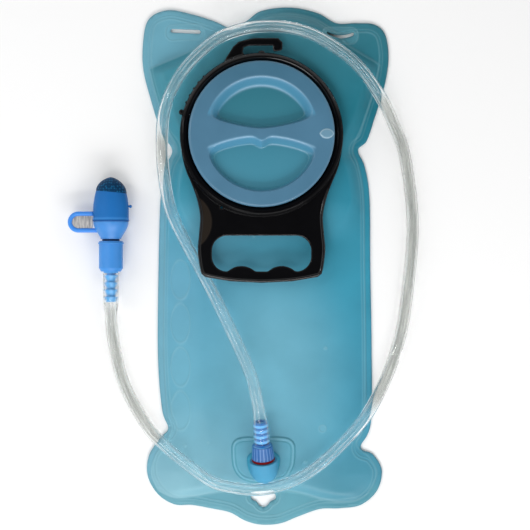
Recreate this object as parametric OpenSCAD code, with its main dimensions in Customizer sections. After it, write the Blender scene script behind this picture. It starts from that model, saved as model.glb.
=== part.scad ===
// Hydration bladder: a bag welded from two films, with a wide screw cap in a
// carrying handle on its front, an outlet near its foot, and a hose that ends
// in a bite valve. It lies on its back. +X is to the right, +Y is towards the
// filling end and +Z is out of the front. The origin is under the bag's middle.

/* [Bag] */
// Height of the bag, from the hang tab to the top lobe
bag_h = 380; // [360:5:470]
// Width of the bag across its ears
bag_w = 181; // [175:1:230]
// Thickness of each film
film_t = 0.8; // [0.4:0.1:1.2]
// Depth of the water space in the lower body
body_rise = 5; // [5:0.5:9]
// Depth of the water space around the neck
neck_rise = 9; // [8:0.5:14]
// Length of each ear slot
slot_l = 22; // [15:1:26]
// Width of each ear slot
slot_w = 3; // [2:0.5:5]
// Width of the hang hole's upper bar
hang_w = 18; // [12:1:24]

/* [Neck and cap] */
// Distance from the bag's top edge to the neck's centre
neck_from_top = 94.5; // [85:0.5:110]
// Diameter of the opening that the bag is filled through
neck_bore_d = 91; // [80:1:92]
// Wall of the neck
neck_wall = 3; // [2:0.2:3.4]
// Height of the neck above the handle's seat
neck_h = 8; // [7:0.5:12]
// Diameter of the flange that is welded to the film
flange_d = 110; // [104:1:112]
// Height of the thread above the neck's wall
thread_h = 0.7; // [0.4:0.1:1]
// Clearance between the neck's thread and the cap
thread_gap = 0.3; // [0.2:0.05:0.6]
// Diameter of the cap
cap_d = 105.6; // [104:0.2:112]
// Thickness of the cap's top
cap_top_t = 2; // [1.6:0.2:3]
// Thickness of the seal in the cap
seal_t = 1.2; // [0.8:0.1:2]
// Depth of the two finger hollows in the cap
hollow_depth = 6.5; // [4:0.5:7]

/* [Handle] */
// Width of the bead around the cap
bead_w = 6; // [5:0.5:9]
// Clearance between the cap and the bead
bead_gap = 0.5; // [0.3:0.1:1.5]
// Thickness of the handle's plate
plate_t = 3; // [2.5:0.5:4]
// Half of the plate's greatest width
plate_half_w = 46.2; // [44:0.2:52]
// Distance from the neck's centre to the lower edge of the handle
handle_reach = 107.6; // [104:0.2:125]
// Width of the grip hole
grip_w = 72; // [60:1:76]
// Height of the grip hole
grip_h = 26; // [22:1:28]

/* [Outlet] */
// Distance from the bag's lower edge to the outlet's mouth
outlet_from_foot = 49; // [46:1:70]
// Angle at which the outlet points up from the film
outlet_tilt = 20; // [14:1:24]
// Radius of the outlet's dome
dome_r = 10; // [9.6:0.2:11]
// Radius of the socket that the plug sits in
socket_r = 6.5; // [5.5:0.1:7]
// Clearance between the plug and its socket
plug_gap = 0.15; // [0.05:0.05:0.3]
// Clearance between the collar and the connector's stem
collar_gap = 0.05; // [0.02:0.01:0.1]

/* [Hose and valve] */
// Outer diameter of the hose
hose_d = 9; // [8:0.5:9]
// Outer diameter of the hose where it is stretched over a barb
hose_stretched_d = 12; // [10:0.5:12]
// Radius of the valve's shut-off barrel
barrel_r = 8.7; // [8:0.1:10]
// Radius of the valve's dust cover
cover_r = 13; // [12.4:0.1:13]
// Wall of the dust cover
cover_wall = 1.2; // [0.8:0.1:1.6]
// Clearance between the valve's turning spigot and the barrel
spigot_gap = 0.05; // [0.02:0.01:0.1]
// Width of the dust cover's strap
strap_w = 3; // [2:0.2:4]

/* [Hidden] */
$fn = 96;
eps = 0.01;
through = 100;

// Stretch from the drawn outline to the chosen width and height
bag_scale = [bag_w / 181, bag_h / 380];

// Outline of both films: ear, top lobe, ear, waist, foot lobes and hang tab
outline_points = [
    [-89.5, 143], [-90, 163], [-86, 181], [-72, 188], [-54, 185], [-38, 180], [-25, 175],
    [-14, 180], [-3, 187.5], [18, 190], [38, 186], [52, 178.5], [67, 178.5], [80, 177.5],
    [88, 170], [90.5, 152], [87, 130], [80, 108], [74.5, 92], [68, 85], [73, 73], [76.5, 50],
    [77, 0], [78, -60], [77.5, -115], [70, -133], [79, -138.5], [85.5, -150], [82, -165],
    [70, -175.5], [54, -178], [40, -178.5], [24, -184], [11, -189], [-3, -190], [-15, -187],
    [-26, -181], [-40, -178], [-54, -175.5], [-67, -175], [-79, -167.5], [-86.5, -154],
    [-85.5, -139], [-77, -126], [-71.5, -119], [-76, -105], [-79, -65], [-78.5, 0],
    [-77, 50], [-73.5, 73], [-68.5, 85], [-76.5, 98], [-83, 118]];

// The four edges of the water space, each from its lower or left end
left_edge = [[-79, -165], [-84, -152], [-80, -138], [-69, -121], [-72, -106], [-74, -60], [-73.5, 0],
             [-72.5, 50], [-69, 75], [-65, 86], [-73, 104], [-80, 125], [-85, 145]];
right_edge = [[75, -167], [82, -152], [76, -140], [67, -131], [72.5, -115], [73, -60], [72.5, 0],
              [71.5, 50], [67.5, 75], [64, 86], [71, 103], [78, 124], [84, 148]];
top_edge = [[-85, 145], [-68, 152], [-51, 160], [-40, 169.5], [-30, 171], [-20, 171.5], [-9, 177.5],
            [3, 183], [19, 185], [36, 181], [49, 174], [61, 162], [84, 148]];
foot_edge = [[-79, -165], [-68, -170], [-55, -169.5], [-42, -167], [-28, -165], [-14, -164], [0, -164],
             [14, -164.5], [28, -167], [42, -171], [56, -173], [67, -171.5], [75, -167]];

// How far in from its edges the water space reaches its full depth
end_reach = 8;
neck_side_reach = 10;
body_side_reach = 28;
// The body rises to the neck's level between these heights
rise_from = 15;
rise_to = 50;

slot_half_pitch = 56.7;
slot_y = bag_h / 2 - 19;
hang_y = -bag_h / 2 + 18;

// Levels, from the floor up
film_top = 2 * film_t;
neck_seat = film_top + neck_rise;
flange_t = 2.4;
shoulder_h = 5.6;
handle_z = neck_seat + shoulder_h;
plate_top = handle_z + plate_t;
cap_lift_gap = 0.5;
cap_foot = plate_top + cap_lift_gap;
neck_top = handle_z + neck_h;
seal_gap = 0.05;
cap_under = neck_top + seal_t + 2 * seal_gap;
cap_top = cap_under + cap_top_t;

neck_at = [-2.8, bag_h / 2 - neck_from_top];
neck_bore_r = neck_bore_d / 2;
neck_r = neck_bore_r + neck_wall;
shoulder_r = neck_r + 4;
cap_r = cap_d / 2;
cap_inner_r = neck_r + thread_h + thread_gap;
bead_in_r = cap_r + bead_gap;
bead_out_r = bead_in_r + bead_w;

port_top = film_top + body_rise;
mouth_over_film = 10.6;
mouth_at = [-1.5, -bag_h / 2 + outlet_from_foot, port_top + mouth_over_film];
mouth_lean = 4;
dome_depth = 7.6;
port_at = [mouth_at[0] + 0.3, mouth_at[1] - 6.5];
port_collar_r = 9;
patch_t = 0.6;
patch_size = [46, 33];
patch_corner = 9;
// The outlet's plate and the patch lie this far above the collar's centre
patch_up = 6.5;

// Lengths along the outlet's axis, from its mouth
ring_r = 1.1;
ring_major_r = 7.4;
collar_from = 2.3;
collar_to = 12.3;
stem_r = 5.2;
barb_from = 14.2;
barb_to = 31;

// Valve, along +Y
valve_at = [-112.5, 0, 13.3];
stem_from = -26;
barrel_from = -4;
barrel_to = 18.2;
bowl_from = 19.7;
bowl_to = 32.3;
cover_to = 53.8;
cover_top_r = cover_r - 1.8;
tip_to = 64.8;
spigot_r = 5;
spigot_from = 8.2;
rim_to = 36.5;

// Route of the hose, from the connector's flange to the valve's stem
hose_route = [
    [-2.4, -127.7, 22], [-3.5, -112, 27.8], [-6.5, -94, 30.5], [-12.5, -73, 28.5],
    [-33, -30, 15.5], [-45.5, -6, 11.4], [-59, 19, 11.7], [-69, 41, 12], [-74, 66, 11.5],
    [-75.5, 91, 11], [-73.5, 113, 13.5], [-65.5, 133, 15.6], [-53, 150, 15.8], [-35.5, 165, 15.8],
    [-16, 172.5, 15.8], [4, 174.5, 15.8], [24, 172, 15.8], [43, 164, 15.9], [65, 148, 16.1],
    [82.5, 126, 11.8], [94, 103.5, 6], [102.5, 79, 4.7], [108, 29, 4.7], [103, -28, 4.7],
    [97, -58, 5], [87, -85, 6.5], [73, -110, 10.5], [55.5, -130, 11.7], [36, -147.5, 11.8],
    [16, -158.5, 11.6], [-4, -163, 11.4], [-24, -161.5, 11.6], [-43.5, -154.5, 11.8],
    [-78, -127, 9.2], [-93, -107, 5.6], [-104, -85, 4.7], [-110, -62, 5.4], [-112.3, -44, 9.8],
    [-112.5, -26, 13.3], [-112.5, -5, 13.3]];
hose_rings = 66;
hose_sides = 10;
hose_grip_rings = 1.6;

// Smooth curve through a list of points
function between(a, b, c, d, t) =
    0.5 * (2 * b + (c - a) * t + (2 * a - 5 * b + 4 * c - d) * t * t
           + (3 * b - a - 3 * c + d) * t * t * t);
function closed_curve(p, steps) = let (n = len(p))
    [for (i = [0 : n - 1], k = [0 : steps - 1])
        between(p[(i + n - 1) % n], p[i], p[(i + 1) % n], p[(i + 2) % n], k / steps)];
function along(p, f) = let (n = len(p) - 1, i = min(floor(f * n), n - 1))
    between(p[max(i - 1, 0)], p[i], p[i + 1], p[min(i + 2, n)], f * n - i);

// Smooth step from 0 at a to 1 at b
function step_up(x, a, b) = let (t = min(max((x - a) / (b - a), 0), 1)) t * t * (3 - 2 * t);
function sized(p) = [p[0] * bag_scale[0], p[1] * bag_scale[1]];
function edge_lift(d, reach) = sin(90 * min(1, d / reach));

// A point of the water space's plan at (u, v), blended from its four edges
function plan_point(u, v) =
    let (l = along(left_edge, v), r = along(right_edge, v),
         b = along(foot_edge, u), t = along(top_edge, u))
    sized((1 - u) * l + u * r + (1 - v) * b + v * t
          - (1 - u) * (1 - v) * left_edge[0] - u * (1 - v) * right_edge[0]
          - (1 - u) * v * left_edge[len(left_edge) - 1] - u * v * right_edge[len(right_edge) - 1]);

// Height of the front film over the back one at (u, v)
function film_lift(u, v) =
    let (p = plan_point(u, v),
         up = step_up(p[1] / bag_scale[1], rise_from, rise_to),
         side = body_side_reach + (neck_side_reach - body_side_reach) * up)
    (body_rise + (neck_rise - body_rise) * up)
    * edge_lift(norm(p - plan_point(0, v)), side) * edge_lift(norm(p - plan_point(1, v)), side)
    * edge_lift(norm(p - plan_point(u, 0)), end_reach)
    * edge_lift(norm(p - plan_point(u, 1)), end_reach);

// The flat rim stops this far short of the raised film that it is one sheet with
rim_gap = 0.02;
// The water space's plan is a grid of this many steps each way
grid = 2 * (len(top_edge) - 1);
function grid_points(z0) = [for (j = [0 : grid], i = [0 : grid])
    let (p = plan_point(i / grid, j / grid)) [p[0], p[1], z0 + film_lift(i / grid, j / grid)]];
function rim_index() = concat([for (i = [0 : grid - 1]) i],
    [for (j = [0 : grid - 1]) j * (grid + 1) + grid],
    [for (i = [grid : -1 : 1]) grid * (grid + 1) + i],
    [for (j = [grid : -1 : 1]) j * (grid + 1)]);
function flat(p) = [for (q = p) [q[0], q[1]]];

module bag_outline() {
    polygon([for (p = closed_curve(outline_points, 3)) sized(p)]);
}

// Slots in the ears and the hole in the hang tab
module hang_cuts() {
    slot_reach = (slot_l - slot_w) / 2;
    for (side = [-1, 1])
        translate([side * slot_half_pitch, slot_y, -through / 2]) {
            for (end = [-1, 1])
                translate([end * slot_reach, 0, 0]) cylinder(r = slot_w / 2, h = through);
            translate([-slot_reach, -slot_w / 2, 0]) cube([2 * slot_reach, slot_w, through]);
        }
    bar_r = 3;
    bar_y = 2.4;
    bar_reach = hang_w / 2 - bar_r;
    drop_r = 4.4;
    translate([mouth_at[0], hang_y, -through / 2]) {
        for (end = [-1, 1]) translate([end * bar_reach, bar_y, 0]) cylinder(r = bar_r, h = through);
        translate([-bar_reach, bar_y - bar_r, 0]) cube([2 * bar_reach, 2 * bar_r, through]);
        translate([0, -1, 0]) cylinder(r = drop_r, h = through);
    }
}

module back_panel() {
    color("#4f9db5")
    difference() {
        linear_extrude(film_t) bag_outline();
        hang_cuts();
    }
}

// The raised stretch of the front film, as one closed shell
module raised_film() {
    n = grid + 1;
    rim = rim_index();
    upper = [for (j = [0 : grid - 1], i = [0 : grid - 1], half = [0, 1]) let (a = j * n + i)
        half == 0 ? [a, a + n, a + n + 1] : [a, a + n + 1, a + 1]];
    lower = [for (t = upper) [t[2] + n * n, t[1] + n * n, t[0] + n * n]];
    wall = [for (k = [0 : len(rim) - 1], half = [0, 1])
        let (a = rim[k], b = rim[(k + 1) % len(rim)])
        half == 0 ? [a, b, b + n * n] : [a, b + n * n, a + n * n]];
    polyhedron(concat(grid_points(film_top), grid_points(film_t)), concat(upper, lower, wall));
}

module front_panel() {
    plan = flat(grid_points(0));
    color("#5fb2c8") {
        difference() {
            translate([0, 0, film_t]) linear_extrude(film_t) difference() {
                bag_outline();
                offset(delta = rim_gap) polygon([for (i = rim_index()) plan[i]]);
            }
            hang_cuts();
        }
        difference() {
            raised_film();
            translate([neck_at[0], neck_at[1], film_t]) cylinder(r = neck_bore_r, h = through);
            translate([port_at[0], port_at[1], film_t + eps]) cylinder(r = port_collar_r, h = through);
        }
    }
}

// Plate with round corners, centred on x and y
module round_plate(w, h, r, t) {
    for (x = [-1, 1], y = [-1, 1])
        translate([x * (w / 2 - r), y * (h / 2 - r), 0]) cylinder(r = r, h = t);
    translate([-w / 2 + r, -h / 2, 0]) cube([w - 2 * r, h, t]);
    translate([-w / 2, -h / 2 + r, 0]) cube([w, h - 2 * r, t]);
}

module outlet_patch() {
    color("#74bdd0")
    difference() {
        translate([port_at[0], port_at[1] + patch_up, port_top])
            round_plate(patch_size[0], patch_size[1], patch_corner, patch_t);
        translate([port_at[0], port_at[1], 0]) cylinder(r = port_collar_r, h = through);
    }
}

module tube(r_out, r_in, h) {
    difference() {
        cylinder(r = r_out, h = h);
        translate([0, 0, -eps]) cylinder(r = r_in, h = h + 2 * eps);
    }
}

module fill_neck() {
    color("#9fc4d4")
    translate([neck_at[0], neck_at[1], neck_seat])
    difference() {
        union() {
            cylinder(r = flange_d / 2, h = flange_t);
            cylinder(r = shoulder_r, h = shoulder_h);
            cylinder(r = neck_r, h = shoulder_h + neck_h);
            for (z = [1, 2])
                translate([0, 0, neck_top - neck_seat - 0.4 - z * 1.8])
                    cylinder(r = neck_r + thread_h, h = 1);
        }
        translate([0, 0, -eps]) cylinder(r = neck_bore_r, h = through);
    }
}

// Right half of the handle's plate, from the neck's centre down
module plate_half() {
    foot = -handle_reach;
    waist = plate_half_w - 2;
    side = [[bead_out_r - 0.4, -4], [bead_out_r - 1.6, -15], [bead_out_r - 4.4, -26],
            [bead_out_r - 8.6, -36], [waist + 3, -46], [waist + 0.4, -58], [waist + 0.8, -71],
            [plate_half_w, -82], [plate_half_w - 0.8, -92], [plate_half_w - 2.6, foot + 6.5]];
    steps = 36;
    polygon(concat([[0, -bead_in_r]], [for (k = [0 : steps]) along(side, k / steps)],
                   [[plate_half_w - 5.5, foot + 4.2], [22, foot + 1], [0, foot]]));
}

// Grip hole with three finger hollows in its lower edge
module grip_cut() {
    end_r = 11;
    top = -handle_reach + 34.2;
    valley_r = 4;
    bump_r = 14.5;
    bump_rise = 4;
    bump_x = 14.6;
    offset(valley_r) offset(-valley_r) difference() {
        translate([0, top - grip_h / 2])
            offset(end_r) square([grip_w - 2 * end_r, grip_h - 2 * end_r], center = true);
        for (side = [-1, 1])
            translate([side * bump_x, top - grip_h + bump_rise - bump_r]) circle(r = bump_r);
    }
}

// Hook at the top of the frame, open to the right
module hook_plan() {
    r = bead_out_r;
    offset(1.6) offset(-1.6) difference() {
        polygon([[-29, r - 9], [-20.5, r + 4.5], [-16.5, r + 8], [-6, r + 10.6], [12, r + 10.6],
                 [15.2, r + 7.4], [15.2, r + 2], [8.4, r + 0.6], [0, r - 2], [-10, r - 4]]);
        polygon([[-10.8, r - 3.6], [-13.8, r + 0.5], [-13, r + 3.8], [-9, r + 5.2], [8.3, r + 5.2],
                 [8.3, r - 1], [40, r - 1], [0, r - 8]]);
    }
}

module handle_frame() {
    small_hole_at = [-29, -53];
    color("#1a1a1c")
    translate([neck_at[0], neck_at[1], handle_z]) {
        difference() {
            linear_extrude(plate_t) difference() {
                union() {
                    plate_half();
                    mirror([1, 0]) plate_half();
                    circle(r = bead_out_r);
                    hook_plan();
                }
                circle(r = neck_r);
                grip_cut();
            }
            translate([small_hole_at[0], small_hole_at[1], -eps]) cylinder(r = 1, h = plate_t + 1);
        }
        tube(bead_out_r, bead_in_r, plate_t + 0.5);
        translate([0, 0, plate_t + 0.5]) rotate_extrude() intersection() {
            translate([bead_in_r + bead_w / 2, 0]) circle(r = bead_w / 2);
            translate([bead_in_r, 0]) square([bead_w, bead_w]);
        }
        // Stop, catch and click teeth around the bead
        translate([0, bead_out_r - 1.5, 0]) cylinder(r = 3, h = plate_t);
        for (a = [135 : 5.5 : 158])
            rotate(a) translate([bead_out_r - 0.4, 0, 0]) cylinder(r = 1.1, h = plate_t + 1);
        rotate(164.5) translate([bead_out_r + 0.8, 0, 0]) cylinder(r = 2, h = plate_t + 1);
    }
}

module cap_seal() {
    color("#e8ecef")
    translate([neck_at[0], neck_at[1], neck_top + seal_gap])
        tube(neck_r + thread_h, neck_bore_r + 0.4, seal_t);
}

// One of the two finger hollows, on the cap's upper half
module hollow_plan(r) {
    bar_half = 1.8;
    offset(3) offset(-3) intersection() {
        circle(r = r);
        polygon([[0, bar_half], [-r - 4, 12.5], [-r - 4, r + 4], [r + 4, r + 4], [r + 4, 12.5]]);
    }
}

module screw_cap() {
    tub_wall = 1.6;
    hollow_r = neck_bore_r - tub_wall - 2.9;
    leaf_at = 46;
    leaf_r = 9;
    leaf_half_h = 4;
    color("#6fa6c6")
    translate([neck_at[0], neck_at[1], 0]) {
        difference() {
            union() {
                translate([0, 0, cap_foot]) cylinder(r = cap_r, h = cap_top - cap_foot);
                translate([0, 0, cap_top - hollow_depth - tub_wall])
                    cylinder(r = hollow_r + tub_wall, h = hollow_depth);
            }
            translate([0, 0, cap_foot - eps])
                tube(cap_inner_r, hollow_r + tub_wall, cap_under - cap_foot + eps);
            for (turn = [0, 180])
                rotate(turn) translate([0, 0, cap_top - hollow_depth])
                    linear_extrude(hollow_depth + 1) hollow_plan(hollow_r);
        }
        translate([leaf_at, 0, cap_top - eps]) linear_extrude(0.8 + eps) intersection() {
            translate([0, leaf_r - leaf_half_h]) circle(r = leaf_r);
            translate([0, leaf_half_h - leaf_r]) circle(r = leaf_r);
        }
    }
}

// Moves a piece from the Z axis to the outlet's axis, with its mouth at 0
module on_outlet() {
    translate(mouth_at) rotate([-(90 - outlet_tilt), 0, mouth_lean]) children();
}

module outlet_port() {
    plate_h = 1.8;
    plate_z = port_top - film_t - plate_h;
    color("#62b4dc")
    difference() {
        union() {
            translate([port_at[0], port_at[1] + patch_up, plate_z]) round_plate(38, 19, 7, plate_h);
            translate([port_at[0], port_at[1], plate_z])
                cylinder(r = port_collar_r, h = mouth_over_film - 3);
            on_outlet() translate([0, 0, -dome_depth]) cylinder(r = dome_r, h = dome_depth);
            on_outlet() translate([0, 0, -dome_depth]) sphere(r = dome_r);
        }
        translate([-through, mouth_at[1] - through, plate_z - through])
            cube([2 * through, 2 * through, through]);
        on_outlet() cylinder(r = dome_r + 1, h = 5);
        on_outlet() translate([0, 0, -9]) cylinder(r = socket_r, h = 9 + eps);
        on_outlet() translate([0, 0, -11.5]) cylinder(r = 4, h = 4);
        translate([mouth_at[0] + 0.5, mouth_at[1] - 9.5, plate_z - 1]) cylinder(r = 3.4, h = 8);
    }
}

module plug_o_ring() {
    color("#a01010")
    on_outlet() translate([0, 0, ring_r + 0.05]) rotate_extrude()
        translate([ring_major_r, 0]) circle(r = ring_r);
}

// Barbs that hold a hose: count cones between two heights
module barbs(z0, z1, count, r_core, r_barb) {
    pitch = (z1 - z0) / count;
    translate([0, 0, z0]) cylinder(r = r_core, h = z1 - z0);
    for (i = [0 : count - 1])
        translate([0, 0, z0 + i * pitch + 0.3 * pitch])
            cylinder(r1 = r_barb, r2 = r_core, h = 0.7 * pitch);
}

module hose_connector() {
    color("#3f93d2")
    on_outlet() difference() {
        union() {
            translate([0, 0, -8.8]) cylinder(r = socket_r - plug_gap, h = 8.8);
            cylinder(r = ring_major_r - ring_r - 0.05, h = collar_from - 0.1);
            cylinder(r = stem_r, h = barb_from);
            translate([0, 0, collar_to + 0.1]) cylinder(r1 = 6.8, r2 = 5.9, h = barb_from - collar_to - 0.1);
            barbs(barb_from, barb_to, 4, 4.2, 5.6);
        }
        translate([0, 0, -9]) cylinder(r = 2.6, h = through);
    }
}

module lock_collar() {
    flutes = 18;
    color("#2f7cc0")
    on_outlet() difference() {
        union() {
            translate([0, 0, collar_from]) cylinder(r1 = 8.3, r2 = 7.2, h = collar_to - collar_from);
            translate([0, 0, collar_to - 3]) cylinder(r = 7.3, h = 3);
        }
        translate([0, 0, collar_from - eps]) cylinder(r = stem_r + collar_gap, h = through);
        for (i = [0 : flutes - 1])
            rotate(i * 360 / flutes) translate([8.5, 0, collar_from + 0.8]) cylinder(r = 0.6, h = 5.4);
    }
}

// Direction of the route at a fraction f of its length in steps
function heading(f) = let (a = along(hose_route, max(f - 0.004, 0)),
                           b = along(hose_route, min(f + 0.004, 1))) (b - a) / norm(b - a);
// Radius of the hose at a fraction f, stretched where it is pushed over a barb
function hose_radius(f) = let (d = min(f, 1 - f) * (len(hose_route) - 1) / hose_grip_rings)
    hose_d / 2 + (hose_stretched_d - hose_d) / 2 * (1 - step_up(d, 0.5, 1));
function hose_ring(f) = let (c = along(hose_route, f), t = heading(f), r = hose_radius(f),
                             a = cross([0, 0, 1], t) / norm(cross([0, 0, 1], t)), b = cross(t, a))
    [for (k = [0 : hose_sides - 1]) c + r * (cos(360 * k / hose_sides) * a
                                             + sin(360 * k / hose_sides) * b)];

module hose() {
    n = hose_sides;
    color("#c9d6d8")
    polyhedron(
        [for (i = [0 : hose_rings]) each hose_ring(i / hose_rings)],
        concat([[for (k = [0 : n - 1]) k]],
               [for (i = [0 : hose_rings - 1], k = [0 : n - 1])
                   [i * n + k, (i + 1) * n + k, (i + 1) * n + (k + 1) % n, i * n + (k + 1) % n]],
               [[for (k = [n - 1 : -1 : 0]) hose_rings * n + k]]));
}

// Moves a piece from the Z axis to the valve's axis along +Y
module on_valve() {
    translate(valve_at) rotate([-90, 0, 0]) children();
}

module valve_stem() {
    color("#4f9fd8")
    on_valve() difference() {
        union() {
            mirror([0, 0, 1]) barbs(1 - barrel_from, -stem_from, 4, 3.5, 4.9);
            translate([0, 0, barrel_from - 1]) cylinder(r = 5.4, h = 1);
            translate([0, 0, barrel_from - eps]) cylinder(r = 4, h = 6);
        }
        translate([0, 0, stem_from - 1]) cylinder(r = 2.2, h = through);
    }
}

module valve_barrel() {
    foot_h = 2.5;
    color("#3a82d6")
    on_valve() difference() {
        union() {
            translate([0, 0, barrel_from]) cylinder(r1 = barrel_r - 1.6, r2 = barrel_r, h = foot_h);
            translate([0, 0, barrel_from + foot_h]) cylinder(r = barrel_r, h = barrel_to - barrel_from - foot_h);
            translate([0, 0, barrel_to - 2.2]) cylinder(r = barrel_r + 0.6, h = 1.2);
        }
        translate([0, 0, barrel_from - 1]) cylinder(r = 4.05, h = 7.2);
        translate([0, 0, barrel_from]) cylinder(r = 2.6, h = through);
        translate([0, 0, spigot_from - 0.2]) cylinder(r = spigot_r + spigot_gap, h = through);
    }
}

module valve_o_ring() {
    minor = 0.7;
    color("#16202c")
    on_valve() translate([0, 0, barrel_to + minor + 0.03]) rotate_extrude()
        translate([spigot_r + minor + 0.1, 0]) circle(r = minor);
}

// Outer radius of the bowl at a fraction f from its neck to its rim
function bowl_radius(f) = 7.4 + (cover_r - 0.2 - 7.4) * pow(sin(90 * f), 1.3);

module valve_bowl() {
    wall = 1.6;
    steps = 10;
    seat_r = cover_r - cover_wall - 0.2;
    cup_from = bowl_from + 5;
    color("#4b93ea")
    on_valve() rotate_extrude() polygon(concat(
        [[2.6, spigot_from], [spigot_r, spigot_from], [spigot_r, bowl_from]],
        [for (i = [0 : steps]) [bowl_radius(i / steps), bowl_from + (bowl_to - bowl_from) * i / steps]],
        [[seat_r, bowl_to], [seat_r, rim_to], [seat_r - wall, rim_to], [seat_r - wall, bowl_to - 1],
         [2.6, cup_from]]));
}

module mouthpiece() {
    foot = rim_to + 0.1;
    color("#1d4f8c")
    on_valve() difference() {
        rotate_extrude() polygon([
            [4, foot], [10.6, foot], [10.6, foot + 2], [7, foot + 4], [6.6, foot + 8], [8.4, foot + 12],
            [8.8, foot + 16], [7.6, foot + 20], [4.4, foot + 23], [0, foot + 24], [0, foot + 22],
            [4, foot + 18]]);
        translate([-5, -0.5, foot + 15]) cube([10, 1, 12]);
    }
}

module dust_cover() {
    side = [[cover_r, bowl_to + 0.1], [cover_r, cover_to - 12], [cover_r - 0.6, cover_to - 6],
            [cover_top_r, cover_to]];
    nub_y = 43.5;
    color("#2468b4")
    on_valve() {
        rotate_extrude() polygon(concat(
            side, [for (i = [len(side) - 1 : -1 : 0]) side[i] - [cover_wall, 0]]));
        translate([cover_r - 0.8, 0, nub_y]) rotate([0, 90, 0]) cylinder(r = 0.8, h = 2);
        translate([cover_r + 1.2, 0, nub_y]) sphere(r = 1.1);
    }
}

// Egg-shaped end: radius at a fraction f from its foot to its tip
function tip_point(f, r, h) = [r * cos(90 * f), h * sin(90 * f)];

module cover_tip() {
    steps = 10;
    r = cover_top_r;
    h = tip_to - cover_to;
    color("#0c3a66")
    on_valve() translate([0, 0, cover_to]) rotate_extrude() polygon(concat(
        [for (i = [0 : steps]) tip_point(i / steps, r, h)],
        [for (i = [steps : -1 : 0]) tip_point(i / steps, r - cover_wall, h - cover_wall)]));
}

module cover_strap() {
    loop_r = 7.6;
    loop_x = -23.8;
    upper_end = -cover_r - 0.15;
    lower_end = -8.9;
    color("#3a86e8")
    translate([valve_at[0], 32.1, valve_at[2] - 1.3]) linear_extrude(2.6) {
        translate([loop_x, 0]) difference() {
            circle(r = loop_r);
            circle(r = loop_r - strap_w);
            translate([0, -loop_r]) square([loop_r, 2 * loop_r]);
        }
        translate([loop_x, loop_r - strap_w]) square([upper_end - loop_x, strap_w]);
        translate([loop_x, -loop_r]) square([lower_end - loop_x, strap_w]);
    }
}

back_panel();
front_panel();
outlet_patch();
fill_neck();
handle_frame();
cap_seal();
screw_cap();
outlet_port();
plug_o_ring();
hose_connector();
lock_collar();
hose();
valve_stem();
valve_barrel();
valve_o_ring();
valve_bowl();
mouthpiece();
dust_cover();
cover_tip();
cover_strap();
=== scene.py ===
# %% [markdown]
# # A water bladder with a drinking hose
# The object is a flat bag welded from two soft films. It has a wide screw cap in
# a black carrying handle, an outlet near its foot, and a clear hose that loops
# round the bag and ends in a bite valve under a dust cover. The hard parts come
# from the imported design, and this lesson adds the films, the hose and the finishes.

import bmesh
import bpy
import numpy as np
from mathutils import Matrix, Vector
from mathutils.geometry import delaunay_2d_cdt


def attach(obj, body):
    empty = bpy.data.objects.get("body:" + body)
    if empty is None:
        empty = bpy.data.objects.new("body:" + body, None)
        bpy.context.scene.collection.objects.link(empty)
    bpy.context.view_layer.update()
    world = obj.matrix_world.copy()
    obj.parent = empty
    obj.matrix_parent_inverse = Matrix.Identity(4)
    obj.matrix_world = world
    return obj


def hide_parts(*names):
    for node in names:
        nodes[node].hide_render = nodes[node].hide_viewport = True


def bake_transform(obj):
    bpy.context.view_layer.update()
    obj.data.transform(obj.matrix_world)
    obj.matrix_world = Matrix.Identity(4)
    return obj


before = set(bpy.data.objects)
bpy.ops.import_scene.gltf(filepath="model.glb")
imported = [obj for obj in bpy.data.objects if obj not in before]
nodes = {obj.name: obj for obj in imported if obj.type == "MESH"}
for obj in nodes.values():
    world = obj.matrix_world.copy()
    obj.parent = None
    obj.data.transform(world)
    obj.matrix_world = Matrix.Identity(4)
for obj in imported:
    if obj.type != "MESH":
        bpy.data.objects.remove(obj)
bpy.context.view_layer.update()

MM = 0.001

# %% [markdown]
# ## The camera
# The bag lies on its back and is seen from straight above. A long lens from
# 1.3 m keeps the sides of the raised cap and handle almost out of sight. The
# colours should come out as they are mixed, so the plain view transform is used.

# %% Camera straight above
lens = bpy.data.cameras.new("camera")
lens.lens, lens.sensor_width, lens.clip_start = 120, 36, 0.01
camera = bpy.data.objects.new("camera", lens)
camera.location = (-0.0003, 0.0008, 1.3)
bpy.context.scene.collection.objects.link(camera)
bpy.context.scene.camera = camera
bpy.context.scene.view_settings.view_transform = "Standard"
print("camera:", tuple(camera.location))

# %% [markdown]
# ## Helpers for surfaces
# Every new piece is a grid of points worked out with numpy: rows run along the
# piece and columns run round it. `wrap` closes the grid. Rows that shrink to one
# point make a pole, and merging equal points closes it. The sign of the enclosed
# volume tells whether the faces look outwards.


# %% Grids, closed shells and meshes
def grid_faces(rows, cols, wrap_rows=False, wrap_cols=True):
    """Four corners of each cell of a grid whose points are stored row by row."""
    r = np.arange(rows if wrap_rows else rows - 1)[:, None]
    c = np.arange(cols if wrap_cols else cols - 1)[None, :]
    r2, c2 = (r + 1) % rows, (c + 1) % cols
    corners = (r * cols + c, r * cols + c2, r2 * cols + c2, r2 * cols + c)
    return np.stack([np.broadcast_to(k, corners[0].shape) for k in corners], -1).reshape(-1, 4)


def enclosed_volume(points, faces):
    """Sum of the tetrahedra from the origin to each triangle of the fan of each face."""
    p = points[faces]
    fans = [(p[:, 0], p[:, k], p[:, k + 1]) for k in range(1, p.shape[1] - 1)]
    return sum(np.einsum("ij,ij->i", a, np.cross(b, c)).sum() for a, b, c in fans) / 6


def add_attribute(mesh, name, values):
    """A number or a vector for each point, which the materials read by its name."""
    kind = "FLOAT" if values.ndim == 1 else "FLOAT_VECTOR"
    layer = mesh.attributes.new(name, kind, "POINT")
    layer.data.foreach_set("value" if kind == "FLOAT" else "vector", values.astype(np.float32).ravel())


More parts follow.
